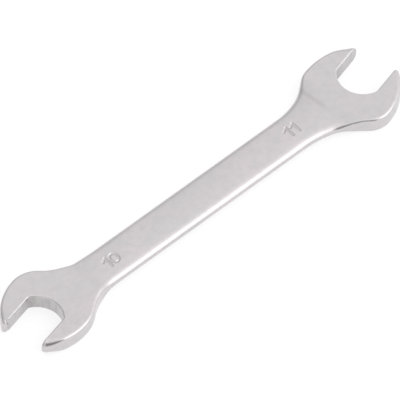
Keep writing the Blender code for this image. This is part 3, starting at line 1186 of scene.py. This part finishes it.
def run_tree(obj, tree, values):
    """Runs a node tree on an object and keeps the result as its mesh."""
    modifier = obj.modifiers.new(tree.name, "NODES")
    modifier.node_group = tree
    sockets = {item.name: item.identifier for item in tree.interface.items_tree if item.in_out == "INPUT"}
    for name, value in values.items():
        modifier[sockets[name]] = value
    bpy.context.view_layer.update()
    mesh = bpy.data.meshes.new_from_object(obj.evaluated_get(bpy.context.evaluated_depsgraph_get()))
    obj.modifiers.remove(modifier)
    obj.data = mesh
    mesh.name = obj.name
    return mesh


inputs = {"Strokes": strokes, "Plate": satin_plate, "Jaw plate": jaw_plate, **FORGING_SIZES}
body = run_tree(wrench, forging_tree(), inputs)
bpy.data.objects.remove(strokes)
body.set_sharp_from_angle(angle=SHARP_TURN)


def closed_volume(mesh):
    """Volume in cubic millimetres, and how many edges don't join two faces."""
    shape = bmesh.new()
    shape.from_mesh(mesh)
    volume = shape.calc_volume(signed=True) / MM**3
    open_edges = sum(len(edge.link_faces) != 2 for edge in shape.edges)
    shape.free()
    return volume, open_edges


volume, open_edges = closed_volume(body)
print("body:", len(body.polygons), "faces,", round(volume, 1), "mm3,", open_edges, "open edges")

# %% Ride on the frame
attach(wrench, "root")
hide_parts("wrench_forging")

# %% [markdown]
# ## Floor, light and camera
#
# The photograph looks as if it was taken in a white light tent, from about 53 degrees above the bench. The
# floor is plain white. For the camera and in reflections it also glows a little, so that it stays white, but
# it still takes the wrench's soft shadow.

# %% Floor
FLOOR_BASE = (0.3, 0.3, 0.3, 1)
FLOOR_GLOW = 0.75
FLOOR_REACH = 3.0
WHITE = (1, 1, 1, 1)


def floor_material():
    """White floor that keeps a soft shadow."""
    material, tree, shader = new_material("white_floor")
    rays = tree.nodes.new("ShaderNodeLightPath").outputs
    seen = maths("ADD", rays["Is Camera Ray"], rays["Is Glossy Ray"], clamp=True)
    seen = maths("ADD", seen, rays["Is Transmission Ray"], clamp=True)
    fill_all(shader, {
        "Base Color": FLOOR_BASE,
        "Roughness": 1.0,
        "Specular IOR Level": 0.0,
        "Emission Color": WHITE,
        "Emission Strength": maths("MULTIPLY", seen, FLOOR_GLOW),
    })
    return material


floor_mesh = bpy.data.meshes.new("floor")
corners = [(x * FLOOR_REACH, y * FLOOR_REACH, 0) for x, y in ((-1, -1), (1, -1), (1, 1), (-1, 1))]
floor_mesh.from_pydata(corners, [], [(0, 1, 2, 3)])
floor_mesh.materials.append(floor_material())
floor = add_object("floor", floor_mesh)
print("floor:", 2 * FLOOR_REACH, "m wide")

# %% [markdown]
# The tent is the world's own light. Its cloth is brighter on one side, a soft box stands at the front right,
# and the tent's dark opening is beside the camera. A few lamps would leave most of the metal dark, because a
# bare metal face shows what surrounds it, so here the surroundings are the light. Turns and rises are in
# degrees, from +X and from the floor, and a `Patch` is full within its inner angle and gone past its outer.

# %% Light tent
Patch = namedtuple("Patch", "turn rise inner outer")
TENT_SIDE = (-50, 40)
TENT_SLOPE = 0.45
TENT_LEVEL = 0.8
KEY_PATCH = Patch(-60, 30, 2, 38)
KEY_LEVEL = 0.8
OPENING_PATCH = Patch(-115, 25, 12, 26)
OPENING_SHARE = 0.8


def facing(way, turn, rise):
    """How nearly each direction agrees with a given one: the cosine of the angle between them."""
    turn = math.radians(turn)
    rise = math.radians(rise)
    target = (math.cos(turn) * math.cos(rise), math.sin(turn) * math.cos(rise), math.sin(rise))
    return vector_maths("DOT_PRODUCT", way, target, "Value")


def patch_share(way, patch):
    """1 inside a patch, and 0 outside it."""
    agreement = facing(way, patch.turn, patch.rise)
    outer = math.cos(math.radians(patch.outer))
    return smooth_step(agreement, outer, math.cos(math.radians(patch.inner)))


def tent_world():
    """A white tent with a soft box and a dark opening."""
    world = bpy.data.worlds.new("light_tent")
    world.use_nodes = True
    tree = world.node_tree
    way = tree.nodes.new("ShaderNodeTexCoord").outputs["Generated"]
    cloth = maths("MULTIPLY", facing(way, *TENT_SIDE), TENT_SLOPE)
    cloth = maths("ADD", cloth, TENT_LEVEL)
    key = maths("MULTIPLY", patch_share(way, KEY_PATCH), KEY_LEVEL)
    opening = maths("MULTIPLY", patch_share(way, OPENING_PATCH), OPENING_SHARE)
    light = maths("MULTIPLY", maths("ADD", cloth, key), maths("SUBTRACT", 1.0, opening))
    rays = tree.nodes.new("ShaderNodeLightPath").outputs
    light = blend(rays["Is Camera Ray"], light, 1.0)
    fill_all(tree.nodes["Background"], {"Strength": light, "Color": WHITE})
    return world


bpy.context.scene.world = tent_world()
print("world:", bpy.context.scene.world.name)

# %% Camera
VIEW_TURN = math.radians(41.761)
VIEW_RISE = math.asin(0.8)
FRAME_WIDTH = 92.06 * MM
CAMERA_DISTANCE = 4.0
FAR_CLIP = 10
TARGET = Vector((-0.122, 0.2576, 2.2)) * MM

camera_data = bpy.data.cameras.new("camera")
camera_data.lens = camera_data.sensor_width * CAMERA_DISTANCE / FRAME_WIDTH
camera_data.clip_end = FAR_CLIP
camera = add_object("camera", camera_data)
level = math.cos(VIEW_RISE)
back = Vector((-math.sin(VIEW_TURN) * level, -math.cos(VIEW_TURN) * level, math.sin(VIEW_RISE)))
camera.location = TARGET + back * CAMERA_DISTANCE
camera.rotation_mode = "QUATERNION"
camera.rotation_quaternion = (-back).to_track_quat("-Z", "Y")
bpy.context.scene.camera = camera
bpy.context.scene.view_settings.view_transform = "Standard"
print("lens:", round(camera_data.lens), "mm")

# %% Finish
bpy.context.view_layer.update()
